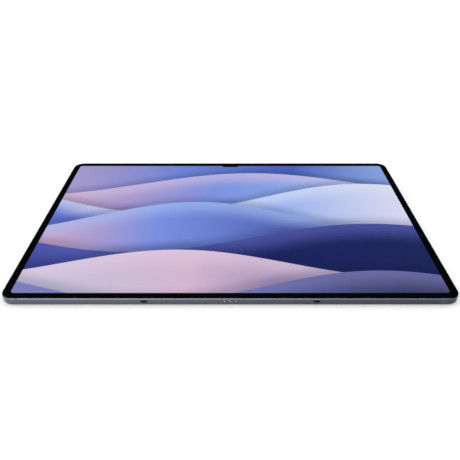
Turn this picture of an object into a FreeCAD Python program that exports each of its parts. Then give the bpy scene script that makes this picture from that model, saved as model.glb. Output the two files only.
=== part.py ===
import FreeCAD
import Part
import math
import os

# Tablet computer with a stylus held on its back by magnets. Every physical piece is its own solid, and each
# call of save() writes one node. Millimetres. The origin is the centre of the flat back face, +Z points out
# through the display, +Y towards the long edge with the keys and the card tray, and +X to the right of a
# person who faces the display with that long edge up.

V = FreeCAD.Vector
X_AXIS, Y_AXIS, Z_AXIS = (1, 0, 0), (0, 1, 0), (0, 0, 1)

# ---- driving dimensions -------------------------------------------------------------------------------

# body
body_w = 326.4
body_d = 208.6
body_t = 5.4
corner_r = 9.0
wall = 3.2
floor_t = 0.7
back_edge_r = 0.4
rim_edge_r = 0.6
rim_w = 0.75
rim_drop = 0.15

# display
screen_w = 314.5
screen_d = 196.4
screen_corner_r = 2.8
glass_t = 0.6
glass_gap = 0.1
glass_edge_r = 0.28
border_t = 0.04
panel_t = 0.4
digitizer_t = 0.22
foil_t = 0.14
adhesive_t = 0.26
notch_flat = 13.4
notch_bend_r = 1.3
front_barrel_r, front_cut_w = 1.75, 9.0

# features on the long and short sides
side_z = 2.7
power_x, power_len = -128.0, 12.0
volume_x, volume_len = -100.0, 24.0
key_h = 1.8
key_proud = 0.35
key_gap = 0.15
tray_x, tray_len, tray_h = -66.0, 17.4, 1.9
dock_pitch, dock_hole_r, dock_pin_r, dock_inset = 4.0, 1.15, 0.8, 0.05
locator_x, locator_len, locator_h, locator_depth = 61.0, 5.0, 2.1, 1.8
antenna_x, antenna_w = 150.3, 1.4
line_inset, line_w, line_depth = 4.6, 0.8, 0.3
speaker_y, speaker_slot_len, speaker_slot_h = 60.0, 26.0, 1.2
mesh_t, mesh_lap, mesh_setback = 0.25, 0.5, 1.1
usb_z, usb_w, usb_h, usb_sheet = 2.35, 8.94, 3.2, 0.3
microphone_x, side_microphone_y, microphone_hole_r = 24.0, -14.0, 0.4

# back of the body
camera_line_y = 87.5
wide_x, main_x, flash_x = -144.2, -127.4, -115.3
ring_r, ring_bore_r, ring_proud = 6.9, 5.3, 1.1
flash_r = 1.8
strip_len, strip_w = 150.0, 8.6

# stylus, which lies along X under the strip
pen_r = 4.1
pen_flat = 3.85
pen_tail_x = 40.6
pen_len = 145.0
pen_gap = 0.05
pen_wall = 0.8
pen_magnet_x = (-40.0, 14.0)
cap_len, cone_len, nib_proud = 7.0, 15.0, 2.0
seam = 0.12
button_x, button_len, button_w = -66.0, 18.0, 2.8

# insides
board_z, board_t = 1.5, 0.8
screw_r, head_r, head_t, boss_r, screw_slack = 0.65, 1.2, 0.5, 1.6, 0.15
cell_w, cell_d, cell_x, cell_bottom, cell_top = 84.0, 132.0, (-16.0, 70.0), 0.8, 3.7
main_board_sides = (-130.0, -62.0, -44.0, 76.0)
can_w, can_x, can_sheet, can_top = 50.0, -98.0, 0.2, 3.65
socket_back_x = 155.9
box_inner_x, box_half_len, box_z, box_top, cone_z = 137.0, 15.5, 0.75, 3.75, 3.05
ear_x, ear_offsets = 134.6, (-12.0, 12.0)
tray_arm, rod_offset, lever_y, lever_r = (-5.6, 8.0), -7.2, 80.0, 0.55
camera_body_z, barrel_z = 1.05, 0.2

# ---- places worked out from those ---------------------------------------------------------------------

half_w, half_d = body_w / 2, body_d / 2
rim_top = body_t - rim_drop
inner_x, inner_y = half_w - wall, half_d - wall
glass_w = body_w - 2 * (rim_w + glass_gap)
glass_d = body_d - 2 * (rim_w + glass_gap)
glass_r = corner_r - rim_w - glass_gap
glass_z = body_t - glass_t
border_z = glass_z - border_t
panel_z = border_z - panel_t
digitizer_z = panel_z - digitizer_t
foil_z = digitizer_z - foil_t
shelf_z = border_z - adhesive_t
screen_top = screen_d / 2
notch_depth = 2 * notch_bend_r
front_cut_y = screen_top - notch_depth + 0.35
front_camera_y = front_cut_y + front_barrel_r + 0.2
board_top = board_z + board_t
pen_axis_z = -(pen_flat + pen_gap)
pen_tip_x = pen_tail_x - pen_len
pen_middle_x = pen_tail_x - pen_len / 2
volume_dome_x = (volume_x - 7.5, volume_x + 7.5)
cone_end_x = pen_tip_x + nib_proud
cone_x = cone_end_x + cone_len
cap_x = pen_tail_x - cap_len


# ---- shape helpers ------------------------------------------------------------------------------------


def block(x, y, z):
    """Box between the two values given for each axis."""
    size = (x[1] - x[0], y[1] - y[0], z[1] - z[0])
    return Part.makeBox(*size, V(x[0], y[0], z[0]))


def brick(x, y, size_x, size_y, z0, z1):
    """Box centred on x, y."""
    return block((x - size_x / 2, x + size_x / 2), (y - size_y / 2, y + size_y / 2), (z0, z1))


def rod(start, axis, radius, length):
    return Part.makeCylinder(radius, length, V(*start), V(*axis))


def edges_in_plane(shape, axis, value):
    """Edges that lie wholly in the plane where this axis has this value."""
    found = []
    for edge in shape.Edges:
        box = edge.BoundBox
        low, high = getattr(box, axis + "Min"), getattr(box, axis + "Max")
        if abs(low - value) < 1e-3 and abs(high - value) < 1e-3:
            found.append(edge)
    return found


def upright_edges(shape):
    return [e for e in shape.Edges if e.BoundBox.XLength < 1e-3 and e.BoundBox.YLength < 1e-3]


def plate(width, depth, radius, z0, z1, x=0, y=0):
    """Slab with a rounded rectangle for its outline."""
    slab = brick(x, y, width, depth, z0, z1)
    return slab.makeFillet(radius, upright_edges(slab))


def stadium(start, along, through, length, width, depth):
    """Prism with a round-ended outline. start is the outline's centre on the prism's first face."""
    start, along, through = V(*start), V(*along), V(*through)
    across = through.cross(along)
    radius = width / 2
    reach = length / 2 - radius

    def at(a, b):
        return start + along * a + across * b

    outline = [
        Part.LineSegment(at(-reach, -radius), at(reach, -radius)).toShape(),
        Part.Arc(at(reach, -radius), at(reach + radius, 0), at(reach, radius)).toShape(),
        Part.LineSegment(at(reach, radius), at(-reach, radius)).toShape(),
        Part.Arc(at(-reach, radius), at(-reach - radius, 0), at(-reach, -radius)).toShape(),
    ]
    return Part.Face(Part.Wire(outline)).extrude(through * depth)


def prism(points, z0, z1):
    """Upright prism on a polygon."""
    corners = [V(x, y, z0) for x, y in points]
    return Part.Face(Part.makePolygon(corners + corners[:1])).extrude(V(0, 0, z1 - z0))


def turned(profile, axis_z, axis_y):
    """Solid turned about the line along X at this y and z. profile lists (x, radius) pairs."""
    points = [V(x, axis_y, axis_z + radius) for x, radius in profile]
    face = Part.Face(Part.makePolygon(points + points[:1]))
    return face.revolve(V(0, axis_y, axis_z), V(1, 0, 0), 360)


def joined(*shapes):
    return shapes[0].fuse(list(shapes[1:])).removeSplitter()


def save(name, *shapes):
    """Writes one node, which may be a group of separate solids."""
    solids = [solid for shape in shapes for solid in shape.Solids]
    bad = [s for s in solids if not s.isValid() or s.Volume <= 0]
    if bad or not solids:
        raise ValueError(f"{name} has {len(bad)} bad solids of {len(solids)}")
    whole = solids[0] if len(solids) == 1 else Part.makeCompound(solids)
    whole.exportStep(f"parts/{name}.step")


# ---- body shell ---------------------------------------------------------------------------------------


def outer_form():
    """The body's outside, as one solid: flat sides, a round back edge and a finely rounded rim."""
    form = plate(body_w, body_d, corner_r, 0, rim_top)
    form = form.makeFillet(back_edge_r, edges_in_plane(form, "Z", 0))
    return form.makeFillet(rim_edge_r, edges_in_plane(form, "Z", rim_top))


def hollow():
    """Everything the shell leaves open for the display and for the insides."""
    recess_w, recess_d = glass_w + 2 * glass_gap, glass_d + 2 * glass_gap
    recess = plate(recess_w, recess_d, glass_r + glass_gap, shelf_z, body_t)
    pocket = plate(2 * inner_x, 2 * inner_y, corner_r - wall, floor_t, body_t)
    return recess.fuse(pocket)


def antenna_gaps():
    """Where plastic breaks the metal, so that radio waves can pass: two slots through each long wall, and at
    each end a groove in the back that runs round the end, parallel to the edge, and joins the two slots."""
    outside, inside = line_inset - line_w / 2, line_inset + line_w / 2
    ring = plate(body_w - 2 * outside, body_d - 2 * outside, corner_r - outside, -1, line_depth)
    core = plate(body_w - 2 * inside, body_d - 2 * inside, corner_r - inside, -2, line_depth + 1)
    middle = brick(0, 0, 2 * antenna_x - antenna_w, body_d, -2, line_depth + 1)
    grooves = ring.cut([core, middle]).Solids
    gaps = []
    for x, groove in zip((-antenna_x, antenna_x), sorted(grooves, key=lambda g: g.CenterOfMass.x)):
        span = (x - antenna_w / 2, x + antenna_w / 2)
        slots = [block(span, y, (-1, body_t)) for y in ((-half_d - 1, -inner_y), (inner_y, half_d + 1))]
        stub_y = half_d - inside
        stubs = [block(span, y, (-1, line_depth)) for y in ((-half_d, -stub_y), (stub_y, half_d))]
        gaps.append(groove.fuse(slots + stubs))
    return gaps


def screw_places():
    """Centres of the screws, all of one height: main board, speaker ears and sub board."""
    left, right, low, high = main_board_sides
    main_board_places = [(x, y) for x in (left + 3, right - 3) for y in (low + 3, 20, high - 3)]
    ears = [
        (side * ear_x, up * speaker_y + offset)
        for side in (-1, 1)
        for up in (-1, 1)
        for offset in ear_offsets
    ]
    sub_board_places = [(121, -29), (121, 29)]
    return main_board_places + ears + sub_board_places


def side_openings():
    """Cuts through the walls for keys, tray, dock contacts, locators, sockets, speakers and microphones."""
    through = wall + 2
    start_y = inner_y - 0.5
    cuts = []
    for x, length in ((power_x, power_len), (volume_x, volume_len)):
        start = (x, start_y, side_z)
        cuts.append(stadium(start, X_AXIS, Y_AXIS, length + 2 * key_gap, key_h + 2 * key_gap, through))
        cuts.append(stadium(start, X_AXIS, Y_AXIS, length + 1.4, key_h + 1.4, 1.3))
    cuts.append(stadium((tray_x, half_d - 1.2, side_z), X_AXIS, Y_AXIS, tray_len + 0.2, tray_h + 0.2, 2))
    cuts.append(block((tray_x - 8.1, tray_x + 8.3), (start_y, half_d), (side_z - 0.65, side_z + 0.65)))
    for x in (-microphone_x, microphone_x):
        cuts.append(rod((x, start_y, side_z), Y_AXIS, microphone_hole_r, through))
    for x in (-dock_pitch, 0, dock_pitch):
        cuts.append(rod((x, -half_d - 1, side_z), Y_AXIS, dock_hole_r, through))
    for x in (-locator_x, locator_x):
        start = (x, -half_d - 1, side_z)
        cuts.append(stadium(start, X_AXIS, Y_AXIS, locator_len, locator_h, locator_depth + 1))
    for side in (-1, 1):
        outward = (side, 0, 0)
        for y in (-speaker_y, speaker_y):
            inside = (side * (inner_x - 0.5), y, side_z)
            cuts.append(stadium(inside, Y_AXIS, outward, speaker_slot_len, speaker_slot_h, through))
            pocket_len, pocket_h = speaker_slot_len + 2 * mesh_lap, speaker_slot_h + 2 * mesh_lap
            cuts.append(stadium(inside, Y_AXIS, outward, pocket_len, pocket_h, wall + 0.5 - mesh_setback))
    socket_start = (inner_x - 0.5, 0, usb_z)
    cuts.append(stadium(socket_start, Y_AXIS, X_AXIS, usb_w + 0.26, usb_h + 0.26, through))
    cuts.append(rod((inner_x - 0.5, side_microphone_y, side_z), X_AXIS, microphone_hole_r, through))
    return cuts


def back_openings():
    """Cuts through the floor for the camera rings, the flash and the stylus strip."""
    cuts = [rod((x, camera_line_y, -1), Z_AXIS, ring_r + 0.05, 2) for x in (wide_x, main_x)]
    cuts.append(rod((flash_x, camera_line_y, -1), Z_AXIS, flash_r + 0.05, 2))
    cuts.append(strip_form(0, -1, 1))
    return cuts


def strip_form(grow, z0, z1):
    """Outline of the stylus strip, grown sideways, between two heights."""
    start = (pen_middle_x, camera_line_y, z0)
    return stadium(start, X_AXIS, Z_AXIS, strip_len + 2 * grow, strip_w + 2 * grow, z1 - z0)


def rear_housing():
    shell = outer_form().cut(hollow())
    bosses = [rod((x, y, floor_t), Z_AXIS, boss_r, board_z - floor_t) for x, y in screw_places()]
    shell = shell.fuse(bosses)
    holes = [rod((x, y, floor_t), Z_AXIS, screw_r + 0.05, 1) for x, y in screw_places()]
    shell = shell.cut(holes + side_openings() + back_openings() + antenna_gaps())
    save("rear_housing", shell.removeSplitter())


def antenna_breaks():
    solid_wall = outer_form().cut(hollow())
    save("antenna_breaks", *[solid_wall.common(gap) for gap in antenna_gaps()])


def stylus_strip():
    """Colour-matched plastic inlay that lets the charging field through the metal back."""
    save("stylus_strip", joined(strip_form(0, 0, floor_t), strip_form(0.8, floor_t, floor_t + 0.3)))


# ---- display ------------------------------------------------------------------------------------------


def notch_form(z0, z1):
    """Tab of black border that reaches down into the picture around the front camera, with S-curved sides."""
    top, middle, low = screen_top, screen_top - notch_bend_r, screen_top - notch_depth
    x1 = notch_flat / 2
    x2, x3 = x1 + notch_bend_r, x1 + 2 * notch_bend_r
    bend = notch_bend_r * math.sin(math.pi / 4)

    def at(x, y):
        return V(x, y, z0)

    def line(a, b):
        return Part.LineSegment(at(*a), at(*b)).toShape()

    def arc(a, b, c):
        return Part.Arc(at(*a), at(*b), at(*c)).toShape()

    outline = [
        arc((x3, top), (x3 - bend, middle + bend), (x2, middle)),
        arc((x2, middle), (x1 + bend, middle - bend), (x1, low)),
        line((x1, low), (-x1, low)),
        arc((-x1, low), (-x1 - bend, middle - bend), (-x2, middle)),
        arc((-x2, middle), (-x3 + bend, middle + bend), (-x3, top)),
        line((-x3, top), (-x3, top + 1)),
        line((-x3, top + 1), (x3, top + 1)),
        line((x3, top + 1), (x3, top)),
    ]
    return Part.Face(Part.Wire(outline)).extrude(V(0, 0, z1 - z0))


def camera_cut(z0, z1):
    """Opening that the layers under the glass leave for the front camera's lens."""
    return block((-front_cut_w / 2, front_cut_w / 2), (front_cut_y, half_d), (z0, z1))


def cover_glass():
    glass = plate(glass_w, glass_d, glass_r, glass_z, body_t)
    save("cover_glass", glass.makeFillet(glass_edge_r, edges_in_plane(glass, "Z", body_t)))


def glass_border():
    """Black print on the underside of the glass, around the picture and the front camera."""
    sheet = plate(glass_w - 0.5, glass_d - 0.5, glass_r - 0.25, border_z, glass_z)
    window = plate(screen_w, screen_d, screen_corner_r, border_z - 1, glass_z + 1)
    window = window.cut(notch_form(border_z - 1, glass_z + 1))
    lens_window = rod((0, front_camera_y, border_z - 1), Z_AXIS, 1.3, 2)
    save("glass_border", sheet.cut([window, lens_window]))


def display_adhesive():
    ring = plate(glass_w - 0.8, glass_d - 0.8, glass_r - 0.4, shelf_z, border_z)
    opening = plate(2 * inner_x + 0.6, 2 * inner_y + 0.6, corner_r - wall + 0.3, shelf_z - 1, border_z + 1)
    save("display_adhesive", ring.cut(opening))


def display_layers():
    """Lit panel, pen-sensing sheet and backing foil, each a little smaller than the one above it."""
    layers = (
        ("oled_panel", 2.4, panel_z, border_z),
        ("digitizer_sheet", 0.8, digitizer_z, panel_z),
        ("backing_foil", 0.0, foil_z, digitizer_z),
    )
    for name, margin, z0, z1 in layers:
        sheet = plate(screen_w + margin, screen_d + margin, screen_corner_r, z0, z1)
        save(name, sheet.cut(camera_cut(z0, z1)))


def display_driver_board():
    """Driver board behind the lower edge of the panel, with its tail to the main board."""
    top = foil_z - 0.02
    board = brick(0, -91, 120, 12, top - 0.8, top)
    tail = prism([(-60, -94), (-60, -88), (-67, -88), (-67, -38), (-73, -38), (-73, -94)], top - 0.2, top)
    plug = brick(-70, -39.5, 6, 3, board_top, top - 0.2)
    save("display_driver_board", joined(board, tail, plug))


def fingerprint_sensor():
    save("fingerprint_sensor", brick(123, -41, 10, 10, foil_z - 0.95, foil_z))


def front_camera():
    body = plate(7.0, 6.0, 0.5, 1.9, foil_z - 0.1, 0, front_camera_y)
    barrel = rod((0, front_camera_y, foil_z - 0.2), Z_AXIS, front_barrel_r, border_z - foil_z + 0.15)
    save("front_camera", joined(body, barrel))


# ---- power and boards ---------------------------------------------------------------------------------


def battery():
    """Two flat cells with rounded rims, and the board along their top edge that protects them."""
    cells = []
    for x in cell_x:
        cell = plate(cell_w, cell_d, 2.0, cell_bottom, cell_top, x, 0)
        rims = edges_in_plane(cell, "Z", cell_bottom) + edges_in_plane(cell, "Z", cell_top)
        cells.append(cell.makeFillet(0.7, rims))
    save("battery_cells", *cells)
    low_y = cell_d / 2 + 1.4
    span_y = (low_y, low_y + 4.0)
    ribbon_z = (3.0, 3.15)
    riser_x, plug_x = (-34, -28), (-74, -68)
    board = block((riser_x[0], 84), span_y, (1.6, 2.4))
    riser = block(riser_x, span_y, (2.4, ribbon_z[1]))
    ribbon = block((plug_x[0], riser_x[1]), span_y, ribbon_z)
    plug = block(plug_x, span_y, (board_top, ribbon_z[0]))
    save("battery_protection_board", joined(board, riser, ribbon, plug))


def screw_holes():
    """Clearance holes through the boards."""
    return [rod((x, y, 0), Z_AXIS, screw_r + screw_slack, cell_top) for x, y in screw_places()]


def main_board():
    """Board with a bay in its top edge, its packaged chips, the cans over them and the vapour chamber."""
    left, right, low, high = main_board_sides
    bay_left, bay_right, bay_y = left + 7, left + 18, high - 6
    outline = [
        (left, low),
        (right, low),
        (right, high),
        (bay_right, high),
        (bay_right, bay_y),
        (bay_left, bay_y),
        (bay_left, high),
        (left, high),
    ]
    board = prism(outline, board_z, board_top)
    save("main_board", board.cut(screw_holes()))

    # centre x, centre y, width, depth and height of each packaged chip
    chips = (
        (-98, 18, 15, 15, 1.1),
        (-114, 18, 9, 12, 0.9),
        (-82, 18, 11, 13, 0.9),
        (-110, -22, 13, 11.5, 1.0),
        (-92, -22, 7, 7, 0.8),
        (-81, -22, 6, 6, 0.8),
        (-108, 54, 9, 8, 0.9),
        (-92, 54, 6.5, 6.5, 0.8),
    )
    save("main_board_chips", *[brick(x, y, w, d, board_top, board_top + h) for x, y, w, d, h in chips])

    cans = []
    for y, depth in ((18, 40), (-22, 28), (54, 26)):
        can = plate(can_w, depth, 1.0, board_top, can_top, can_x, y)
        inner_w, inner_d = can_w - 2 * can_sheet, depth - 2 * can_sheet
        cans.append(can.cut(plate(inner_w, inner_d, 0.8, board_top, can_top - can_sheet, can_x, y)))
    save("shield_cans", *cans)
    chamber_z = floor_t + 0.02
    save("vapour_chamber", plate(can_w, 74, 4.0, chamber_z, chamber_z + 0.4, can_x + 2, 0))


def sub_board():
    """Small board at the right side that carries the charging socket."""
    board = block((118, socket_back_x - 0.5), (-32, 32), (board_z, board_top))
    save("sub_board", board.cut(screw_holes()))


def usb_socket():
    """Drawn metal shell, open at the side of the body, and the tongue in the middle of it."""
    front_x = half_w - 0.15
    root_x = socket_back_x + 0.4
    depth = front_x - socket_back_x
    start, root_start = (socket_back_x, 0, usb_z), (root_x, 0, usb_z)
    shell = stadium(start, Y_AXIS, X_AXIS, usb_w, usb_h, depth)
    bore = stadium(root_start, Y_AXIS, X_AXIS, usb_w - 2 * usb_sheet, usb_h - 2 * usb_sheet, depth)
    save("usb_c_shell", shell.cut(bore))
    tongue_half_w, tongue_half_t, root_half_w, root_half_t = 3.35, 0.35, 3.9, 0.8
    tongue_z = (usb_z - tongue_half_t, usb_z + tongue_half_t)
    root_z = (usb_z - root_half_t, usb_z + root_half_t)
    tongue = block((root_x, front_x - 0.9), (-tongue_half_w, tongue_half_w), tongue_z)
    root = block((root_x, root_x + 1.2), (-root_half_w, root_half_w), root_z)
    save("usb_c_tongue", joined(tongue, root))


def board_link_flex():
    """Ribbon across the cells that joins the two boards, with a plug at each end."""
    low, high = cell_top + 0.04, cell_top + 0.18
    ribbon = block((-71.5, 129), (-20, -8), (low, high))
    plugs = [brick(x, -14, 7, 12, board_top, low) for x in (-68, 124)]
    save("board_link_flex", joined(ribbon, *plugs))


def vibration_motor():
    """Closed case, and the mass that swings inside it along Y."""
    x, y, low, high = 128, -86, 0.75, 3.65
    case_w, case_d, case_sheet, mass_w, mass_d, mass_gap = 8, 15, 0.3, 6.0, 9.0, 0.55
    case = brick(x, y, case_w, case_d, low, high)
    inner_w, inner_d = case_w - 2 * case_sheet, case_d - 2 * case_sheet
    save("vibration_motor_case", case.cut(brick(x, y, inner_w, inner_d, low + case_sheet, high - case_sheet)))
    save("vibration_mass", brick(x, y, mass_w, mass_d, low + mass_gap, high - mass_gap))


def screws():
    """Flat-headed screws. Speaker ears and boards have one thickness, so every screw is the same."""
    tip_z = floor_t + 0.1
    cross_z = board_top + head_t / 2
    made = []
    for x, y in screw_places():
        head = rod((x, y, board_top), Z_AXIS, head_r, head_t)
        shank = rod((x, y, tip_z), Z_AXIS, screw_r, board_top - tip_z)
        cross = [brick(x, y, a, b, cross_z, cross_z + head_t) for a, b in ((1.3, 0.3), (0.3, 1.3))]
        made.append(joined(head, shank).cut(cross))
    save("screws", *made)


# ---- sound and radio ----------------------------------------------------------------------------------


def speaker_box(side, y):
    """Sound box at one side, with a well for its driver, a duct to the wall and two screw ears."""
    outer_x, far_x = side * (inner_x - 0.2), side * box_inner_x
    x = (outer_x + far_x) / 2
    box = block(sorted((outer_x, far_x)), (y - box_half_len, y + box_half_len), (box_z, box_top))
    box = box.makeFillet(1.5, upright_edges(box))
    well = plate(14, 22, 3.0, box_z + 0.6, box_top + 0.25, x, y)
    duct = brick((x + outer_x) / 2 + side, y, abs(outer_x - x) + 2, 20, side_z - 0.5, side_z + 0.5)
    places = [(side * ear_x, y + offset) for offset in ear_offsets]
    ears = [brick(ear + side * 0.3, ear_y, 4.4, 4.4, board_z, board_top) for ear, ear_y in places]
    holes = [rod((ear, ear_y, 0), Z_AXIS, screw_r + screw_slack, 5) for ear, ear_y in places]
    return box.fuse(ears).cut([well, duct] + holes).removeSplitter()


def diaphragm(x, y):
    """Flat cone with a raised dome in the middle and the voice coil on its underside."""
    cone = plate(13.6, 21.6, 2.8, cone_z, cone_z + 0.25, x, y)
    dome = plate(7.5, 13.5, 2.0, cone_z + 0.25, cone_z + 0.4, x, y)
    coil = plate(9.8, 15.8, 1.6, 2.2, cone_z, x, y).cut(plate(8.8, 14.8, 1.1, 2, cone_z, x, y))
    return joined(cone, dome, coil)


def speakers():
    """Four sound boxes, each with a magnet, a moving diaphragm with its coil, and a dust mesh in the wall."""
    boxes, magnets, meshes = [], [], []
    for side, side_name in ((-1, "left"), (1, "right")):
        x = side * (inner_x - 0.2 + box_inner_x) / 2
        for up, up_name in ((-1, "bottom"), (1, "top")):
            y = up * speaker_y
            boxes.append(speaker_box(side, y))
            magnets.append(plate(8, 14, 1.0, box_z + 0.6, box_z + 2.0, x, y))
            save(f"speaker_diaphragm_{up_name}_{side_name}", diaphragm(x, y))
            seat = (side * (half_w - mesh_setback - mesh_t), y, side_z)
            size = (speaker_slot_len + 2 * mesh_lap - 0.1, speaker_slot_h + 2 * mesh_lap - 0.1)
            meshes.append(stadium(seat, Y_AXIS, (side, 0, 0), *size, mesh_t))
    save("speaker_boxes", *boxes)
    save("speaker_magnets", *magnets)
    save("speaker_meshes", *meshes)


def microphones():
    """Two behind the holes in the upper long side, and one beside the charging socket."""
    length, depth, z = 3.5, 1.5, (1.5, 3.8)
    y = (inner_y - depth + 0.3, inner_y)
    along_top = [block((x - length / 2, x + length / 2), y, z) for x in (-microphone_x, microphone_x)]
    y = (side_microphone_y - length / 2, side_microphone_y + length / 2)
    beside_socket = block((inner_x - 1.1, inner_x), y, z)
    save("microphones", *along_top, beside_socket)


def antenna_modules():
    """Plastic carriers with the antenna foil, beside the breaks in the wall."""
    x, y = 140, 97.5
    save("antenna_modules", *[plate(28, 5.6, 1.2, 1.0, 3.6, *at) for at in ((x, y), (-x, -y), (x, -y))])


# ---- cameras and flash --------------------------------------------------------------------------------


def camera_trim():
    """Metal rings that stand out of the back, with a bevelled lip, and the windows set into them."""
    window_z, window_t = 0.3 - ring_proud, 0.7
    rings, windows = [], []
    for x in (wide_x, main_x):
        ring = rod((x, camera_line_y, -ring_proud), Z_AXIS, ring_r, ring_proud + floor_t)
        ring = ring.makeChamfer(0.45, edges_in_plane(ring, "Z", -ring_proud))
        flange = rod((x, camera_line_y, floor_t), Z_AXIS, ring_r + 0.6, 0.3)
        bore = rod((x, camera_line_y, -3), Z_AXIS, ring_bore_r, 5)
        rings.append(joined(ring, flange).cut(bore))
        windows.append(rod((x, camera_line_y, window_z), Z_AXIS, ring_bore_r - 0.05, window_t))
    save("camera_rings", *rings)
    save("camera_windows", *windows)


def main_camera():
    """Autofocus camera: a housing with an open well, and the lens barrel that travels in it."""
    body = plate(9.6, 9.6, 0.8, camera_body_z, 3.75, main_x, camera_line_y)
    well = rod((main_x, camera_line_y, 0), Z_AXIS, 3.6, 3.2)
    save("main_camera_body", body.cut(well))
    barrel = rod((main_x, camera_line_y, barrel_z), Z_AXIS, 3.4, 2.4)
    eye = Part.makeCone(2.3, 1.2, 0.8, V(main_x, camera_line_y, barrel_z), V(*Z_AXIS))
    save("autofocus_lens", barrel.cut(eye))


def wide_camera():
    """Fixed camera: a housing and its barrel in one piece."""
    body = plate(8.6, 8.6, 0.8, camera_body_z, 3.4, wide_x, camera_line_y)
    barrel = rod((wide_x, camera_line_y, barrel_z), Z_AXIS, 3.3, floor_t + 0.4)
    eye = Part.makeCone(2.5, 1.1, 0.7, V(wide_x, camera_line_y, barrel_z), V(*Z_AXIS))
    save("wide_camera", joined(body, barrel).cut(eye))


def flash():
    """Lens flush with the back, with a flange inside, and the lamp on its board behind it."""
    lens = rod((flash_x, camera_line_y, 0), Z_AXIS, flash_r, floor_t)
    flange = rod((flash_x, camera_line_y, floor_t), Z_AXIS, flash_r + 0.3, 0.15)
    save("flash_lens", joined(lens, flange))
    save("flash_led", brick(flash_x, camera_line_y, 2.2, 2.2, floor_t + 0.3, floor_t + 1.2))


# ---- keys, tray and dock ------------------------------------------------------------------------------


def key(x, length):
    """Key cap, and the flange inside the wall that keeps it in."""
    outer_y = half_d + key_proud
    flange_y = inner_y - 0.65
    cap = stadium((x, flange_y, side_z), X_AXIS, Y_AXIS, length, key_h, outer_y - flange_y)
    cap = cap.makeFillet(0.22, edges_in_plane(cap, "Y", outer_y))
    flange = stadium((x, flange_y, side_z), X_AXIS, Y_AXIS, length + 1.2, key_h + 0.8, 0.4)
    return cap, flange


def nub(x, reach):
    """Round nub that presses a dome switch, from this far inside the wall to the key's flange."""
    return rod((x, inner_y - reach, side_z), Y_AXIS, 0.6, reach - 0.55)


def keys():
    """The power key is pressed straight in. The volume key rocks, so its nubs reach nearer to their domes."""
    save("power_key", joined(*key(power_x, power_len), nub(power_x, 1.05)))
    nubs = [nub(x, 1.15) for x in volume_dome_x]
    save("volume_key", joined(*key(volume_x, volume_len), *nubs))


def side_seals():
    """Rubber rings round the stems of the two keys, in the pockets behind the wall."""
    rings = []
    for x, length in ((power_x, power_len), (volume_x, volume_len)):
        start = (x, inner_y + 0.2, side_z)
        ring = stadium(start, X_AXIS, Y_AXIS, length + 1.3, key_h + 1.3, 0.55)
        stem = stadium(start, X_AXIS, Y_AXIS, length + 0.3, key_h + 0.25, 1)
        rings.append(ring.cut(stem))
    save("side_seals", *rings)


def key_switches():
    """Ribbon with the dome switches, and the bracket that backs it up."""
    face_y = inner_y - 1.9
    span = (power_x - 9, volume_x + 16)
    strip = block(span, (face_y, face_y + 0.2), (1.3, 3.8))
    domes = [rod((x, face_y + 0.2, side_z), Y_AXIS, 1.1, 0.3) for x in (power_x, *volume_dome_x)]
    save("key_flex", joined(strip, *domes))
    upright = block(span, (face_y - 0.5, face_y), (1.0, 3.8))
    foot = block(span, (face_y - 2.4, face_y), (floor_t, 1.0))
    save("key_bracket", joined(upright, foot))


def card_tray():
    """Pull-out tray for one memory card, with a hole for the eject pin in its face."""
    face_y = half_d - 0.05
    face = stadium((tray_x, face_y - 1.0, side_z), X_AXIS, Y_AXIS, tray_len, tray_h, 1.0)
    face = face.makeFillet(0.15, edges_in_plane(face, "Y", face_y))
    pin_hole = rod((tray_x + rod_offset, half_d - 2, side_z), Y_AXIS, 0.5, 3)
    left, right = tray_x + tray_arm[0], tray_x + tray_arm[1]
    arm = block((left, right), (lever_y + 2.6, half_d - 1.0), (side_z - 0.45, side_z + 0.45))
    bay = block((left + 1.2, right - 1.2), (half_d - 17.6, half_d - 2.4), (side_z - 0.25, body_t))
    window = block((left + 2.0, right - 2.0), (half_d - 16.8, half_d - 6.0), (0, body_t))
    save("card_tray", joined(face.cut(pin_hole), arm.cut([bay, window])))


def card_reader():
    """Sheet-metal cage for the tray, with the pin that the eject lever turns on."""
    side_sheet, flat_sheet, half_cage_w, half_cage_h = 0.25, 0.2, 8.9, 0.95
    x = (tray_x - half_cage_w, tray_x + half_cage_w)
    y = (lever_y - 3.0, inner_y - 0.2)
    z = (side_z - half_cage_h, side_z + half_cage_h)
    cage = block(x, y, z)
    inside_x = (x[0] + side_sheet, x[1] - side_sheet)
    inside = block(inside_x, (y[0] + side_sheet, y[1] + 1), (z[0] + flat_sheet, z[1] - flat_sheet))
    pivot = rod((tray_x, lever_y, z[0]), Z_AXIS, lever_r - 0.05, z[1] - z[0])
    save("card_reader", cage.cut(inside).fuse(pivot).removeSplitter())


def ejector():
    """Rod behind the pin hole, and the lever that it turns."""
    half_bar_d, half_bar_h = 0.7, 0.3
    start_y = lever_y + half_bar_d + 0.08
    save("eject_rod", rod((tray_x + rod_offset, start_y, side_z), Y_AXIS, 0.42, half_d - 1.6 - start_y))
    bar_y, bar_z = (lever_y - half_bar_d, lever_y + half_bar_d), (side_z - half_bar_h, side_z + half_bar_h)
    bar = block((tray_x - 8.0, tray_x + 7.5), bar_y, bar_z)
    save("eject_lever", bar.cut(rod((tray_x, lever_y, 0), Z_AXIS, lever_r, body_t)))


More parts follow.
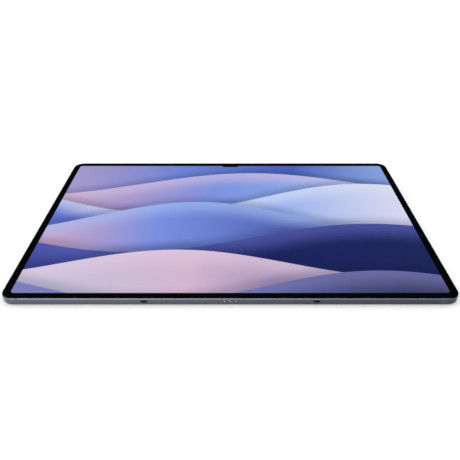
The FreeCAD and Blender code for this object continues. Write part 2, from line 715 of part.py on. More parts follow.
def dock():
    """Three keyboard contacts in the lower long side, held by one insulator."""
    pin_y = dock_inset - half_d
    centres = (-dock_pitch, 0, dock_pitch)
    bar = block((-7, 7), (-inner_y, -inner_y + 1.2), (1.2, 3.8))
    sleeves = [rod((x, -half_d + 0.1, side_z), Y_AXIS, dock_hole_r - 0.05, wall) for x in centres]
    bores = [rod((x, -half_d - 1, side_z), Y_AXIS, dock_pin_r, 10) for x in centres]
    save("dock_insulator", joined(bar, *sleeves).cut(bores))
    pins = []
    for x in centres:
        pin = rod((x, pin_y, side_z), Y_AXIS, dock_pin_r - 0.02, wall + 1.2)
        pins.append(pin.makeFillet(0.12, edges_in_plane(pin, "Y", pin_y)))
    save("dock_contacts", *pins)


def housing_magnets():
    """Magnets that hold a cover along the lower side, and those that hold the stylus over its strip."""
    cover_places = [side * x for side in (-1, 1) for x in (28, 90, 116)]
    cover = [brick(x, 1.5 - inner_y, 18, 2.4, 0.8, 3.0) for x in cover_places]
    holding = [brick(x, camera_line_y, 14, 5, floor_t + 0.32, floor_t + 1.6) for x in pen_magnet_x]
    save("housing_magnets", *cover, *holding)


# ---- stylus -------------------------------------------------------------------------------------------


def pen_rod(x0, x1, radius):
    """Rod on the stylus's axis."""
    return rod((x0, camera_line_y, pen_axis_z), X_AXIS, radius, x1 - x0)


def above_flat():
    """The space the stylus gives up for its flat side, which faces the tablet's back."""
    return brick(pen_middle_x, camera_line_y, pen_len + 50, 20, pen_axis_z + pen_flat, 5)


def stylus_barrel():
    """Tube with a seam at each end and a slot for the button."""
    barrel = pen_rod(cone_x, cap_x, pen_r)
    ends = edges_in_plane(barrel, "X", cone_x) + edges_in_plane(barrel, "X", cap_x)
    barrel = barrel.makeChamfer(seam, ends)
    barrel = barrel.cut([pen_rod(cone_x - 1, cap_x + 1, pen_r - pen_wall), above_flat()])
    under = (button_x, camera_line_y, pen_axis_z - 6)
    save("stylus_barrel", barrel.cut(stadium(under, X_AXIS, Z_AXIS, button_len, button_w, 5)))


def stylus_end_cap():
    """Rounded cap with a plug that goes into the tube."""
    cap = pen_rod(cap_x, pen_tail_x, pen_r)
    cap = cap.makeFillet(2.0, edges_in_plane(cap, "X", pen_tail_x))
    cap = cap.makeChamfer(seam, edges_in_plane(cap, "X", cap_x)).cut(above_flat())
    save("stylus_end_cap", joined(cap, pen_rod(cap_x - 5, cap_x, pen_r - pen_wall - 0.1)))


def stylus_cone():
    """Nose that narrows along a gentle curve, sampled at even steps, with a bore for the nib."""
    steps = 8
    narrow_r, bore_r, core_r, core_len = 1.3, 0.8, 1.6, 8
    nose = [(cone_x, 0), (cone_x, pen_r - seam), (cone_x - seam, pen_r)]
    for i in range(1, steps + 1):
        share = i / steps
        nose.append((cone_x - share * cone_len, narrow_r + (pen_r - narrow_r) * (1 - share**1.6)))
    cone = turned(nose + [(cone_end_x, 0)], pen_axis_z, camera_line_y)
    cone = cone.cut([above_flat(), pen_rod(cone_end_x - 1, cone_x + 1, bore_r)])
    core_end_x = cone_x - core_len
    core = [(cone_x, 0), (cone_x, pen_r - pen_wall - 0.1), (core_end_x, core_r), (core_end_x, 0)]
    save("stylus_cone", cone.cut(turned(core, pen_axis_z, camera_line_y)))


def stylus_button():
    """Button with its flange inside the tube."""
    proud, gap = 0.2, 0.15
    start = (button_x, camera_line_y, pen_axis_z - pen_r - proud)
    cap = stadium(start, X_AXIS, Z_AXIS, button_len - 2 * gap, button_w - 2 * gap, pen_r + proud - 2.4)
    cap = cap.common(pen_rod(button_x - button_len, button_x + button_len, pen_r + 0.12))
    flange_start = (button_x, camera_line_y, pen_axis_z - 2.7)
    flange = stadium(flange_start, X_AXIS, Z_AXIS, button_len + 0.7, button_w + 0.5, 0.35)
    save("stylus_button", joined(cap, flange))


def stylus_insides():
    """Nib, the coil on its ferrite core, the board, the energy store and the magnets under the flat side."""
    tip = pen_rod(pen_tip_x, cone_x + 13, 0.7)
    save("stylus_nib", tip.makeFillet(0.6, edges_in_plane(tip, "X", pen_tip_x)))
    ferrite_x, ferrite_r, coil_r, nib_clear_r = cone_x + 0.5, 1.9, 2.8, 0.85
    nib_room = pen_rod(cone_x, cone_x + 11, nib_clear_r)
    ferrite = pen_rod(ferrite_x, ferrite_x + 10, ferrite_r).cut(nib_room)
    coil = pen_rod(ferrite_x + 1, ferrite_x + 9, coil_r).cut(pen_rod(cone_x, cone_x + 11, ferrite_r))
    board = brick(-46, camera_line_y, 54, 4.6, pen_axis_z + 0.2, pen_axis_z + 0.8)
    store = pen_rod(-17, 3, 2.0)
    save("stylus_electronics", ferrite, coil, board, store)
    low, high = pen_axis_z + 1.2, pen_axis_z + 2.8
    save("stylus_magnets", *[brick(x, camera_line_y, 12, 3.0, low, high) for x in pen_magnet_x])


# ---- build --------------------------------------------------------------------------------------------

os.makedirs("parts", exist_ok=True)
for build in (
    rear_housing,
    antenna_breaks,
    stylus_strip,
    cover_glass,
    glass_border,
    display_adhesive,
    display_layers,
    display_driver_board,
    fingerprint_sensor,
    front_camera,
    battery,
    main_board,
    sub_board,
    usb_socket,
    board_link_flex,
    vibration_motor,
    screws,
    speakers,
    microphones,
    antenna_modules,
    camera_trim,
    main_camera,
    wide_camera,
    flash,
    keys,
    side_seals,
    key_switches,
    card_tray,
    card_reader,
    ejector,
    dock,
    housing_magnets,
    stylus_barrel,
    stylus_end_cap,
    stylus_cone,
    stylus_button,
    stylus_insides,
):
    build()
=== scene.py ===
import math

import bpy
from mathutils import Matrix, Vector


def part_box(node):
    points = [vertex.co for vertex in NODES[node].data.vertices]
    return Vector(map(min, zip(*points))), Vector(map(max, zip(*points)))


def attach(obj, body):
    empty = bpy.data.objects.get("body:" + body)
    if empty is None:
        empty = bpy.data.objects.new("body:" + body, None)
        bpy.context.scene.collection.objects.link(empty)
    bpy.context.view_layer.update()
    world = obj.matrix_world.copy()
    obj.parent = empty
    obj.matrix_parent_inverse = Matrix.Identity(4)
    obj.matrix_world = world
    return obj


# A slate-grey tablet computer with its picture lit, lying on its stylus on a white floor. The CAD pieces
# carry procedural materials, and the small things the CAD leaves out are added here. Metres, in the
# frame's own axes; the materials measure in millimetres.

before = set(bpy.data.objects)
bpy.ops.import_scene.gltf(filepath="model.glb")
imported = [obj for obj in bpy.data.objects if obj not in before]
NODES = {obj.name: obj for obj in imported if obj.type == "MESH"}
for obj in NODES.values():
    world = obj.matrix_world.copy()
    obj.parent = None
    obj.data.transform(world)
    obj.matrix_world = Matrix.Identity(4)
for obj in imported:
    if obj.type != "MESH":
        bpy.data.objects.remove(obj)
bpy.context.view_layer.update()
MM = 0.001

# ---- node helpers -------------------------------------------------------------------------------------


def linear(r, g, b):
    """Screen colour, 0 to 255, as linear light."""
    out = []
    for c in (r / 255, g / 255, b / 255):
        out.append(c / 12.92 if c <= 0.04045 else ((c + 0.055) / 1.055) ** 2.4)
    return (*out, 1)


class Value:
    """A node socket that does arithmetic by adding nodes."""

    def __init__(self, tree, socket):
        self.tree, self.socket = tree, socket

    def _math(self, operation, *others):
        node = self.tree.nodes.new("ShaderNodeMath")
        node.operation = operation
        for slot, item in zip(node.inputs, (self, *others)):
            if isinstance(item, Value):
                self.tree.links.new(item.socket, slot)
            else:
                slot.default_value = item
        return Value(self.tree, node.outputs[0])

    def __add__(self, other):
        return self._math("ADD", other)

    def __sub__(self, other):
        return self._math("SUBTRACT", other)

    def __mul__(self, other):
        return self._math("MULTIPLY", other)

    def __truediv__(self, other):
        return self._math("DIVIDE", other)

    def power(self, exponent):
        return self._math("POWER", exponent)

    def least(self, other):
        return self._math("MINIMUM", other)

    def most(self, other):
        return self._math("MAXIMUM", other)

    def absolute(self):
        return self._math("ABSOLUTE")

    def ripples(self, pitch):
        """Sine wave from -1 to 1 that repeats at this pitch."""
        return (self * (2 * math.pi / pitch))._math("SINE")

    def fade(self, start, end, low=0.0, high=1.0):
        """Smooth step from low, where the value is start, to high, where it is end."""
        node = self.tree.nodes.new("ShaderNodeMapRange")
        node.interpolation_type = "SMOOTHSTEP"
        self.tree.links.new(self.socket, node.inputs["Value"])
        for name, number in (("From Min", start), ("From Max", end), ("To Min", low), ("To Max", high)):
            node.inputs[name].default_value = number
        return Value(self.tree, node.outputs["Result"])


class Colour:
    """A colour socket, or a plain colour, that other colours can be laid over."""

    def __init__(self, tree, source):
        self.tree, self.source = tree, source

    def over(self, colour, weight):
        node = self.tree.nodes.new("ShaderNodeMix")
        node.data_type = "RGBA"
        factor, a, b = node.inputs[0], node.inputs[6], node.inputs[7]
        plug(self.tree, factor, weight)
        plug(self.tree, a, self)
        plug(self.tree, b, colour)
        return Colour(self.tree, node.outputs[2])


def plug(tree, slot, item):
    """Links or sets an input from a Value, a Colour or a plain number or colour."""
    if isinstance(item, Colour):
        item = item.source
    if isinstance(item, Value):
        item = item.socket
    if isinstance(item, bpy.types.NodeSocket):
        tree.links.new(item, slot)
    else:
        slot.default_value = item


def ramp(tree, value, stops):
    """Colour ramp through (position, colour) stops."""
    node = tree.nodes.new("ShaderNodeValToRGB")
    elements = node.color_ramp.elements
    while len(elements) < len(stops):
        elements.new(0.5)
    for element, (place, colour) in zip(elements, stops):
        element.position = place
        element.color = colour
    tree.links.new(value.socket, node.inputs[0])
    return Colour(tree, node.outputs[0])


class Surface:
    """A material with one Principled shader, and coordinates in millimetres in the object's frame."""

    def __init__(self, name):
        self.material = bpy.data.materials.new(name)
        self.material.use_nodes = True
        self.tree = self.material.node_tree
        self.shader = self.tree.nodes["Principled BSDF"]
        self.output = self.tree.nodes["Material Output"]
        place = self.tree.nodes.new("ShaderNodeTexCoord")
        self.place = self.tree.nodes.new("ShaderNodeVectorMath")
        self.place.operation = "SCALE"
        self.place.inputs["Scale"].default_value = 1 / MM
        self.tree.links.new(place.outputs["Object"], self.place.inputs[0])
        axes = self.tree.nodes.new("ShaderNodeSeparateXYZ")
        self.tree.links.new(self.place.outputs[0], axes.inputs[0])
        self.x, self.y, self.z = (Value(self.tree, s) for s in axes.outputs)

    def set(self, **values):
        """Sets Principled inputs. Underscores in the names stand for spaces."""
        for name, value in values.items():
            plug(self.tree, self.shader.inputs[name.replace("_", " ")], value)
        return self

    def noise(self, size, detail=2.0, stretch=(1, 1, 1)):
        """Noise from 0 to 1 whose grains are about this many millimetres."""
        node = self.tree.nodes.new("ShaderNodeTexNoise")
        node.inputs["Scale"].default_value = 1 / size
        node.inputs["Detail"].default_value = detail
        scaled = self.tree.nodes.new("ShaderNodeVectorMath")
        scaled.operation = "MULTIPLY"
        scaled.inputs[1].default_value = stretch
        self.tree.links.new(self.place.outputs[0], scaled.inputs[0])
        self.tree.links.new(scaled.outputs[0], node.inputs["Vector"])
        return Value(self.tree, node.outputs[0])

    def bump(self, height, depth_mm, edge_mm=0.0):
        """Bumps of this depth from a height of 0 to 1, and sharp edges rounded to this radius."""
        node = self.tree.nodes.new("ShaderNodeBump")
        node.inputs["Distance"].default_value = depth_mm * MM
        self.tree.links.new(height.socket, node.inputs["Height"])
        self.tree.links.new(node.outputs[0], self.shader.inputs["Normal"])
        if edge_mm:
            edge = self.tree.nodes.new("ShaderNodeBevel")
            edge.inputs["Radius"].default_value = edge_mm * MM
            self.tree.links.new(edge.outputs[0], node.inputs["Normal"])
        return self

    def colour(self, value):
        return Colour(self.tree, value)

    def show(self, shader_socket):
        self.tree.links.new(shader_socket, self.output.inputs["Surface"])

    def radius(self, x, y):
        """Distance from the upright line through x, y."""
        dx, dy = self.x - x, self.y - y
        return (dx * dx + dy * dy).power(0.5)

    def mixed(self, factor, first, second):
        """Shader that goes from the first to the second as the factor goes from 0 to 1."""
        mix = self.tree.nodes.new("ShaderNodeMixShader")
        plug(self.tree, mix.inputs[0], factor)
        self.tree.links.new(first, mix.inputs[1])
        self.tree.links.new(second, mix.inputs[2])
        return mix.outputs[0]

    def back(self):
        """One where a face is seen from behind."""
        return Value(self.tree, self.tree.nodes.new("ShaderNodeNewGeometry").outputs["Backfacing"])

    def pane(self, clear, roughness, coating_ior):
        """Shader of a pane that lets the clear shader's light through and mirrors the rest in front."""
        gloss = self.tree.nodes.new("ShaderNodeBsdfGlossy")
        plug(self.tree, gloss.inputs["Color"], (1, 1, 1, 1))
        plug(self.tree, gloss.inputs["Roughness"], roughness)
        fresnel = self.tree.nodes.new("ShaderNodeFresnel")
        fresnel.inputs["IOR"].default_value = coating_ior
        mirrored = Value(self.tree, fresnel.outputs[0]) * (self.back() * -1 + 1)
        return self.mixed(mirrored, clear.outputs[0], gloss.outputs[0])


def paint(material, *names):
    for name in names:
        data = NODES[name].data
        data.materials.clear()
        data.materials.append(material)


def lower(node, depth_mm):
    """Draws a CAD piece this much lower, so that it doesn't share a face with the piece above it."""
    gap = NODES[node].modifiers.new("gap", "DISPLACE")
    gap.direction = "Z"
    gap.mid_level = 0.0
    gap.strength = -depth_mm * MM


def tinted(surface, colour, amount, size, detail=2.0):
    """The colour, darker and lighter by this share over patches of this size."""
    dark = tuple(c * (1 - amount) for c in colour[:3]) + (1,)
    light = tuple(min(1.0, c * (1 + amount)) for c in colour[:3]) + (1,)
    return surface.colour(dark).over(light, surface.noise(size, detail))


# ---- materials ----------------------------------------------------------------------------------------

# how far the rim round the glass, painted lighter as a painted highlight, comes down the housing
highlight_rim_h = 0.95


def anodised(name, colour, highlight_colour, rough=0.3):
    """Bead-blasted and anodised aluminium: a fine grain, faint patches in tone and gloss, and a rim round
    the glass painted lighter as a painted highlight, and made a little glossier."""
    s = Surface(name)
    grain = s.noise(0.11, 3)
    patches = s.noise(14, 2)
    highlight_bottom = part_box("rear_housing")[1].z / MM - highlight_rim_h
    # painted highlight: a band at the top, round the glass, gets a lighter colour and less roughness
    highlight_band = s.z.fade(highlight_bottom, highlight_bottom + 0.2)
    s.set(Base_Color=tinted(s, colour, 0.05, 9).over(highlight_colour, highlight_band), Metallic=1.0)
    s.set(Roughness=patches * 0.05 + grain * 0.04 + highlight_band * -0.06 + (rough - 0.045))
    return s.bump(grain, 0.0035, 0.12).material


def moulded(name, colour, rough=0.5, grain_mm=0.25, depth=0.004):
    """Moulded plastic or rubber with a fine spark-eroded texture."""
    s = Surface(name)
    grain = s.noise(grain_mm, 3)
    s.set(Base_Color=tinted(s, colour, 0.08, 5))
    s.set(Roughness=grain * 0.12 + s.noise(7) * 0.08 + (rough - 0.1))
    return s.bump(grain, depth).material


def sheet(name, colour, rough=0.3, along=(1, 1, 1)):
    """Bare sheet metal with drawn lines. along stretches the lines."""
    s = Surface(name)
    lines = s.noise(0.12, 2, along)
    s.set(Base_Color=tinted(s, colour, 0.08, 3), Metallic=1.0, Roughness=lines * 0.14 + (rough - 0.07))
    return s.bump(lines, 0.003).material


# The picture on the screen. It stops a little short of the panel's edge. Its waves go from the back to the
# front. Each has the height of its middle line, swing, length and shift in millimetres, then the colour of
# its crest, and its own colours from left to right.
panel_margin, lit_corner_r = 1.4, 2.7
crest_depth, shadow_reach = 30.0, 16.0
panel_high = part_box("oled_panel")[1] / MM
screen_x, screen_y = panel_high.x - panel_margin, panel_high.y - panel_margin
behind_waves = [
    (0.0, (170, 158, 208)),
    (0.35, (112, 134, 218)),
    (0.7, (74, 100, 190)),
    (1.0, (138, 166, 226)),
]
waves = [
    (
        (60.0, 22.0, 430.0, 86.0),
        (214, 198, 232),
        [(0.0, (196, 160, 194)), (0.45, (128, 150, 228)), (0.9, (150, 182, 240))],
    ),
    (
        (34.0, 26.0, 390.0, -30.0),
        (222, 230, 252),
        [(0.3, (96, 116, 208)), (0.62, (150, 180, 242)), (1.0, (220, 220, 244))],
    ),
    (
        (2.0, 24.0, 360.0, 120.0),
        (170, 196, 250),
        [(0.0, (206, 168, 200)), (0.3, (122, 146, 228)), (0.75, (70, 84, 170))],
    ),
    (
        (-30.0, 20.0, 400.0, -20.0),
        (92, 100, 186),
        [(0.1, (60, 70, 150)), (0.5, (28, 36, 98)), (1.0, (30, 38, 92))],
    ),
    (
        (-64.0, 17.0, 350.0, 130.0),
        (232, 206, 228),
        [(0.0, (196, 200, 224)), (0.4, (214, 184, 210)), (0.8, (96, 102, 166))],
    ),
    (
        (-90.0, 17.0, 340.0, -28.0),
        (126, 128, 190),
        [(0.3, (126, 126, 192)), (0.65, (74, 78, 134)), (1.0, (40, 42, 76))],
    ),
]


def picture():
    """Lit panel: soft waves laid over one another, each with a lighter crest and a faint shadow behind."""
    s = Surface("lit_panel")
    across = (s.x + screen_x) / (2 * screen_x)

    def blend(stops):
        return ramp(s.tree, across, [(place, linear(*colour)) for place, colour in stops])

    whole = blend(behind_waves)
    for (middle, swing, length, shift), crest, stops in waves:
        depth = (s.x + shift).ripples(length) * swing + middle - s.y
        fill = blend(stops).over(linear(*crest), depth.fade(0, crest_depth, 0.6, 0.0))
        whole = whole.over(linear(20, 26, 74), depth.fade(-shadow_reach, 0, 0.0, 0.3))
        whole = whole.over(fill, depth.fade(-0.15, 0.2))
    whole = whole.over(linear(0, 0, 0), s.noise(0.12, 0) * 0.02)
    over_x = (s.x.absolute() - (screen_x - lit_corner_r)).most(0)
    over_y = (s.y.absolute() - (screen_y - lit_corner_r)).most(0)
    beyond = (over_x * over_x + over_y * over_y).power(0.5)
    whole = whole.over(linear(0, 0, 0), beyond.fade(lit_corner_r - 0.1, lit_corner_r))

    s.set(Base_Color=(0.004, 0.004, 0.005, 1), Roughness=0.35, Specular_IOR_Level=0.2)
    s.set(Emission_Color=whole, Emission_Strength=1.0)
    return s.material


def clear_glass():
    """Cover glass with a coating that weakens reflections. It bends the light, so the picture seems to lie
    closer under the surface than it does."""
    s = Surface("cover_glass")
    clear = s.tree.nodes.new("ShaderNodeBsdfRefraction")
    plug(s.tree, clear.inputs["Color"], (1, 1, 1, 1))
    plug(s.tree, clear.inputs["Roughness"], 0.0)
    plug(s.tree, clear.inputs["IOR"], 1.5)
    smears = s.noise(22, 3)
    s.show(s.pane(clear, smears * 0.03 + 0.015, 1.27))
    return s.material


def black_print():
    """Ink printed on the underside of the glass, so that it has no gloss of its own. The glass above keeps
    lamps from it, so a trace of glow stands for the light that it gives back."""
    s = Surface("black_print")
    ink_and_glow = tinted(s, linear(6, 7, 9), 0.3, 6)
    s.set(Base_Color=ink_and_glow, Specular_IOR_Level=0.0, Roughness=s.noise(3) * 0.1 + 0.6)
    # painted glow: the print also gives out its own dark colour as a faint glow
    s.set(Emission_Color=ink_and_glow, Emission_Strength=1.0)
    return s.material


# the upright axes of the two rear cameras, the flash and the front camera, and the radii of clear glass
ring_low, ring_high = (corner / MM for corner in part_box("camera_rings"))
ring_r = (ring_high.y - ring_low.y) / 2
camera_y = (ring_high.y + ring_low.y) / 2
wide_x, main_x = ring_low.x + ring_r, ring_high.x - ring_r
flash_low, flash_high = (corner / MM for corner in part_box("flash_lens"))
flash_x = (flash_low.x + flash_high.x) / 2
front_low, front_high = (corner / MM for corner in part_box("front_camera"))
front_top = max(v.co.z for v in NODES["front_camera"].data.vertices)
front_rim = [v.co.y for v in NODES["front_camera"].data.vertices if v.co.z > front_top - 0.01 * MM]
front_lens_y = (min(front_rim) + max(front_rim)) / 2 / MM
window_clear_r, front_lens_r = 3.0, 0.76


def camera_distance(s):
    """Distance from the nearer of the two rear cameras' axes."""
    return s.radius(wide_x, camera_y).least(s.radius(main_x, camera_y))


def coated(s, colour, film_nm):
    """Dark polished glass with a thin coating that gives tinted reflections."""
    s.set(Base_Color=tinted(s, colour, 0.2, 1.5), Roughness=s.noise(1.2) * 0.03 + 0.03)
    s.set(Coat_Weight=0.6, Coat_Roughness=0.02, Thin_Film_Thickness=film_nm, Thin_Film_IOR=1.9)
    return s


def window_glass():
    """Camera window: black print on the glass around a clear round middle."""
    s = Surface("camera_window")
    coated(s, linear(7, 7, 9), 0.0).set(Coat_Weight=0.0, Specular_IOR_Level=0.25)
    pane = s.pane(s.tree.nodes.new("ShaderNodeBsdfTransparent"), s.noise(2) * 0.02 + 0.01, 1.25)
    printed = camera_distance(s).fade(window_clear_r - 0.05, window_clear_r + 0.05)
    s.show(s.mixed(printed, pane, s.shader.outputs[0]))
    return s.material


def lens_barrel():
    """Black barrel with fine rings turned round its opening against stray light."""
    s = Surface("lens_barrel")
    ridges = camera_distance(s).ripples(0.22).fade(-1, 1)
    s.set(Base_Color=tinted(s, linear(20, 20, 22), 0.2, 1.0), Roughness=ridges * 0.2 + 0.35)
    return s.bump(ridges, 0.03).material


def turned_metal():
    """Polished metal with the faint circles of a lathe tool."""
    s = Surface("turned_metal")
    circles = camera_distance(s).ripples(0.09).fade(-1, 1)
    s.set(Base_Color=tinted(s, linear(176, 181, 190), 0.05, 2), Metallic=1.0)
    s.set(Roughness=circles * 0.06 + 0.17)
    return s.bump(circles, 0.0015, 0.08).material


def front_lens():
    """Black camera block with a small coated lens in the middle."""
    s = Surface("front_lens")
    front_x = (front_low.x + front_high.x) / 2
    middle = s.radius(front_x, front_lens_y).fade(front_lens_r - 0.04, front_lens_r + 0.04)
    s.set(Base_Color=s.colour(linear(20, 26, 52)).over(linear(9, 9, 10), middle), Coat_Weight=0.3)
    s.set(Roughness=middle * 0.4 + 0.05 + s.noise(1.0) * 0.02)
    return s.material


def flash_plastic():
    """Frosted lens with circular steps, yellower over the lamp behind it."""
    s = Surface("flash_frost")
    r = s.radius(flash_x, camera_y)
    steps = r.ripples(0.3).fade(-1, 1)
    tone = tinted(s, linear(240, 240, 234), 0.03, 0.6)
    tone = tone.over(linear(246, 232, 176), r.fade(1.1, 0.3, 0.0, 0.7))
    s.set(Base_Color=tone, Roughness=steps * 0.1 + 0.25, Coat_Weight=0.5)
    return s.bump(steps, 0.02).material


def woven_mesh():
    """Steel dust mesh: wires crossing at a small pitch, with the holes between them painted near black as
    painted shade.
    """
    s = Surface("woven_mesh")
    pitch = 0.34
    wires = s.y.ripples(pitch).most(s.z.ripples(pitch))
    solid = wires.fade(0.1, 0.55)
    # painted shade: the holes are painted near black in place of the dark hollow behind them
    s.set(Base_Color=s.colour(linear(8, 8, 9)).over(tinted(s, linear(150, 152, 158), 0.1, 0.8), solid))
    s.set(Metallic=solid, Roughness=solid * -0.3 + 0.65)
    return s.bump(solid, 0.06).material


def plug_tongue():
    """Black plastic tongue with gilt contact strips along it."""
    s = Surface("plug_tongue")
    tip_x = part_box("usb_c_tongue")[1].x / MM
    pitch, reach, bare_tip = 0.5, 3.0, 0.5
    stripes = s.y.ripples(pitch).fade(0.0, 0.3) * s.y.absolute().fade(reach + 0.05, reach - 0.05)
    stripes = stripes * s.x.fade(tip_x - bare_tip + 0.05, tip_x - bare_tip - 0.05)
    grain = s.noise(0.2, 2)
    plastic, gilt = tinted(s, linear(24, 24, 26), 0.1, 1), linear(226, 188, 118)
    s.set(Base_Color=plastic.over(gilt, stripes), Metallic=stripes)
    s.set(Roughness=grain * 0.1 + 0.3)
    return s.bump(stripes, 0.03).material


# the second colour is the painted highlight on the rim round the glass
slate, painted_rim_highlight = linear(103, 107, 118), linear(142, 147, 158)
slate_plastic, black, rubber = linear(84, 87, 97), linear(18, 18, 20), linear(26, 26, 27)
diaphragms = [f"speaker_diaphragm_{up}_{side}" for up in ("top", "bottom") for side in ("left", "right")]

# outside
paint(anodised("slate_metal", slate, painted_rim_highlight), "rear_housing", "power_key", "volume_key", "card_tray")
paint(moulded("slate_plastic", slate_plastic, 0.42), "antenna_breaks", "stylus_strip")
paint(clear_glass(), "cover_glass")
paint(black_print(), "glass_border")
paint(picture(), "oled_panel")
lower("oled_panel", 0.02)
paint(front_lens(), "front_camera")
paint(turned_metal(), "camera_rings")
paint(window_glass(), "camera_windows")
paint(lens_barrel(), "autofocus_lens", "wide_camera")
paint(flash_plastic(), "flash_lens")
paint(woven_mesh(), "speaker_meshes")
paint(sheet("socket_steel", linear(176, 178, 184), 0.28, (0.08, 1, 1)), "usb_c_shell")
paint(plug_tongue(), "usb_c_tongue")
paint(sheet("contact_metal", linear(182, 184, 190), 0.24), "dock_contacts")
paint(moulded("seal_rubber", rubber, 0.75), "side_seals")

# stylus
paint(moulded("stylus_satin", linear(222, 227, 232), 0.34, 0.15, 0.002), "stylus_barrel", "stylus_end_cap")
paint(moulded("stylus_nose", linear(218, 223, 229), 0.38, 0.15, 0.002), "stylus_cone")
paint(moulded("stylus_key", linear(206, 212, 218), 0.3, 0.15, 0.002), "stylus_button")
paint(moulded("stylus_tip", linear(60, 61, 64), 0.55), "stylus_nib")
paint(moulded("stylus_inside", linear(96, 80, 64), 0.6), "stylus_electronics")

# inside
paint(moulded("black_plastic", black, 0.55), "main_camera_body", "dock_insulator", "microphones")
paint(moulded("box_plastic", black, 0.5), "speaker_boxes", "antenna_modules", "main_board_chips")
paint(moulded("foam_tape", black, 0.8, 0.4, 0.01), "display_adhesive")
paint(moulded("film", linear(60, 58, 56), 0.4), *diaphragms)
paint(moulded("copper_film", linear(150, 92, 52), 0.4), "digitizer_sheet", "display_driver_board")
paint(moulded("ribbon", linear(158, 98, 48), 0.35), "board_link_flex", "key_flex")
solder_mask = moulded("solder_mask", linear(22, 66, 50), 0.35)
paint(solder_mask, "main_board", "sub_board", "battery_protection_board")
paint(moulded("battery_wrap", linear(48, 49, 52), 0.45), "battery_cells")
paint(moulded("sensor_glass", linear(22, 26, 34), 0.15), "fingerprint_sensor")
paint(moulded("phosphor", linear(240, 214, 90), 0.6), "flash_led")
paint(sheet("steel", linear(190, 190, 192), 0.32), "shield_cans", "card_reader", "key_bracket", "screws")
turned_steel = sheet("turned_steel", linear(182, 183, 186), 0.28)
paint(turned_steel, "eject_rod", "eject_lever", "vibration_motor_case")
paint(sheet("tungsten", linear(128, 128, 132), 0.4), "vibration_mass")
paint(sheet("foil", linear(176, 176, 178), 0.35), "backing_foil")
paint(sheet("copper", linear(214, 138, 96), 0.3), "vapour_chamber")
magnets = ("speaker_magnets", "housing_magnets", "stylus_magnets")
paint(sheet("plated_magnet", linear(186, 186, 188), 0.22), *magnets)

# ---- small shapes that the CAD leaves out ---------------------------------------------------------------


def dome_lens(name, x, y, z, radius, sag, back, material, body):
    """Round lens that bulges downwards from z by sag, with a flat back this much higher."""
    around, along = 64, 12
    bend = (radius * radius + sag * sag) / (2 * sag)
    lean = math.asin(radius / bend)
    profile = []
    for i in range(1, along + 1):
        angle = lean * i / along
        profile.append((bend * math.sin(angle), z - sag + bend * (1 - math.cos(angle))))
    profile.append((radius, z + back))
    verts = [(x * MM, y * MM, (z - sag) * MM)]
    for r, height in profile:
        for k in range(around):
            turn = 2 * math.pi * k / around
            verts.append(((x + r * math.cos(turn)) * MM, (y + r * math.sin(turn)) * MM, height * MM))
    faces = [(0, 1 + (k + 1) % around, 1 + k) for k in range(around)]
    for i in range(len(profile) - 1):
        for k in range(around):
            a, b = 1 + i * around + k, 1 + i * around + (k + 1) % around
            faces.append((a, b, b + around, a + around))
    last = 1 + (len(profile) - 1) * around
    faces.append(tuple(range(last, last + around)))
    mesh = bpy.data.meshes.new(name)
    mesh.from_pydata(verts, [], faces)
    mesh.shade_smooth()
    mesh.set_sharp_from_angle(angle=math.radians(40))
    mesh.materials.append(material)
    made = bpy.data.objects.new(name, mesh)
    bpy.context.scene.collection.objects.link(made)
    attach(made, body)


main_glass = coated(Surface("main_lens_glass"), linear(10, 12, 22), 420.0).material
wide_glass = coated(Surface("wide_lens_glass"), linear(12, 10, 20), 340.0).material
main_dome = dict(z=0.85, radius=1.35, sag=0.45, back=0.1)
wide_dome = dict(z=0.75, radius=1.3, sag=0.5, back=0.1)
dome_lens("main_lens", main_x, camera_y, **main_dome, material=main_glass, body="autofocus_lens")
dome_lens("wide_lens", wide_x, camera_y, **wide_dome, material=wide_glass, body="tablet")

# ---- stage --------------------------------------------------------------------------------------------

# the two lines of rest on the floor, which lies a hair below them
near_edge_y, near_edge_z = -103.9 * MM, -0.55 * MM
stylus_y, stylus_low_z = 87.5 * MM, -8.0 * MM
floor_slope = (stylus_low_z - near_edge_z) / (stylus_y - near_edge_y)
floor_reach = 6.0
floor_gap = 0.02 * MM

# which way the softbox lies, forward and up, and how bright things are
strip_low, strip_high = 0.616, 0.788
strip_strength, matt_strength = 3.5, 1.18

camera_place = (-0.0002, -0.35053, 0.23554)
camera_down_deg, camera_lens_mm = 34.851, 37.227


def floor():
    """White floor under the tablet's two lines of rest, the near lower edge and the stylus. It is clear
    from below, and so it is to the light on whatever is seen through it. Only in shiny surfaces is it
    painted darker towards the right, a painted shade in its reflections where nothing stands."""
    corners = []
    for x, y in ((-1, -1), (1, -1), (1, 1), (-1, 1)):
        far = y * floor_reach
        corners.append((x * floor_reach, far, near_edge_z + (far - near_edge_y) * floor_slope - floor_gap))
    mesh = bpy.data.meshes.new("floor")
    mesh.from_pydata(corners, [], [(0, 1, 2, 3)])
    made = bpy.data.objects.new("floor", mesh)
    bpy.context.scene.collection.objects.link(made)
    s = Surface("floor_paper_painted_shade")
    rays = s.tree.nodes.new("ShaderNodeLightPath")
    # painted shade: seen in reflections only, the floor darkens towards the right
    painted_dark_reflection = Value(s.tree, rays.outputs["Is Glossy Ray"]) * s.x.fade(-160, 260, 0.0, 0.62)
    paper_with_painted_shade = s.colour((0.93, 0.93, 0.93, 1)).over((0, 0, 0, 1), painted_dark_reflection)
    s.set(Base_Color=paper_with_painted_shade, Roughness=0.9, Specular_IOR_Level=0.0)
    unseen = (s.back() + Value(s.tree, rays.outputs["Transparent Depth"])).least(1)
    clear = s.tree.nodes.new("ShaderNodeBsdfTransparent")
    s.show(s.mixed(unseen, s.shader.outputs[0], clear.outputs[0]))
    mesh.materials.append(s.material)


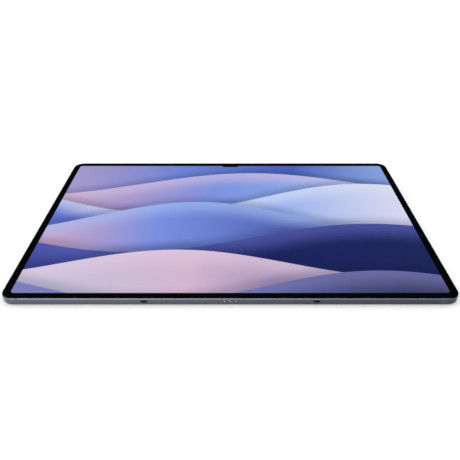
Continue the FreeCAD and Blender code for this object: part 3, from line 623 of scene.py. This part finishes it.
def sky():
    """Even white light for matt surfaces. Shiny ones see a strip softbox high in front, brighter at its
    left end, a dim front horizon, white paper below, and a dark far side."""
    world = bpy.data.worlds.new("sky")
    bpy.context.scene.world = world
    world.use_nodes = True
    tree = world.node_tree
    background = tree.nodes["Background"]
    coords = tree.nodes.new("ShaderNodeTexCoord")
    axes = tree.nodes.new("ShaderNodeSeparateXYZ")
    tree.links.new(coords.outputs["Generated"], axes.inputs[0])
    x, y, z = (Value(tree, socket) for socket in axes.outputs)
    rays = tree.nodes.new("ShaderNodeLightPath")
    shiny = Value(tree, rays.outputs["Is Glossy Ray"])

    # the strip runs along x, so its place is an angle round that axis, and its two ends are cut by x
    upright = (x * x * -1 + 1.001).power(0.5)
    strip = ((y * -strip_low + z * strip_high) / upright).fade(0.9, 0.98, 0.0, strip_strength)
    softbox = strip * x.fade(0.5, -0.5, 0.4, 1.0) * x.absolute().fade(0.6, 0.46)
    horizon = y.fade(-0.2, 0.2, 0.10, 0.0) * z.fade(0.6, 0.1)
    below = (x * -0.3 + y * 0.35 + z * -0.85).fade(-0.1, 0.9, 0.25, 1.3) * z.fade(0.0, -0.1)
    strength = shiny * (softbox + horizon + below) + (shiny * -1 + 1) * matt_strength
    plug(tree, background.inputs["Strength"], strength)
    background.inputs["Color"].default_value = (0.985, 0.99, 1.0, 1)


def lamp(name, place, target, size, power):
    data = bpy.data.lights.new(name, "AREA")
    data.size = size
    data.energy = power
    made = bpy.data.objects.new(name, data)
    made.location = place
    made.rotation_euler = (Vector(target) - Vector(place)).to_track_quat("-Z", "Y").to_euler()
    bpy.context.scene.collection.objects.link(made)


def camera():
    """Camera above the middle of the near side, looking down at the tablet."""
    data = bpy.data.cameras.new("camera")
    data.sensor_width = 36.0
    data.lens = camera_lens_mm
    data.clip_start, data.clip_end = 0.01, 20.0
    made = bpy.data.objects.new("camera", data)
    made.location = camera_place
    made.rotation_euler = (math.radians(90 - camera_down_deg), 0, 0)
    bpy.context.scene.collection.objects.link(made)
    bpy.context.scene.camera = made


floor()
sky()
lamp("key", place=(-1.3, -0.2, 1.2), target=(0, 0, 0), size=1.0, power=3.0)
camera()
bpy.context.scene.view_settings.view_transform = "Standard"
bpy.context.scene.view_settings.look = "None"
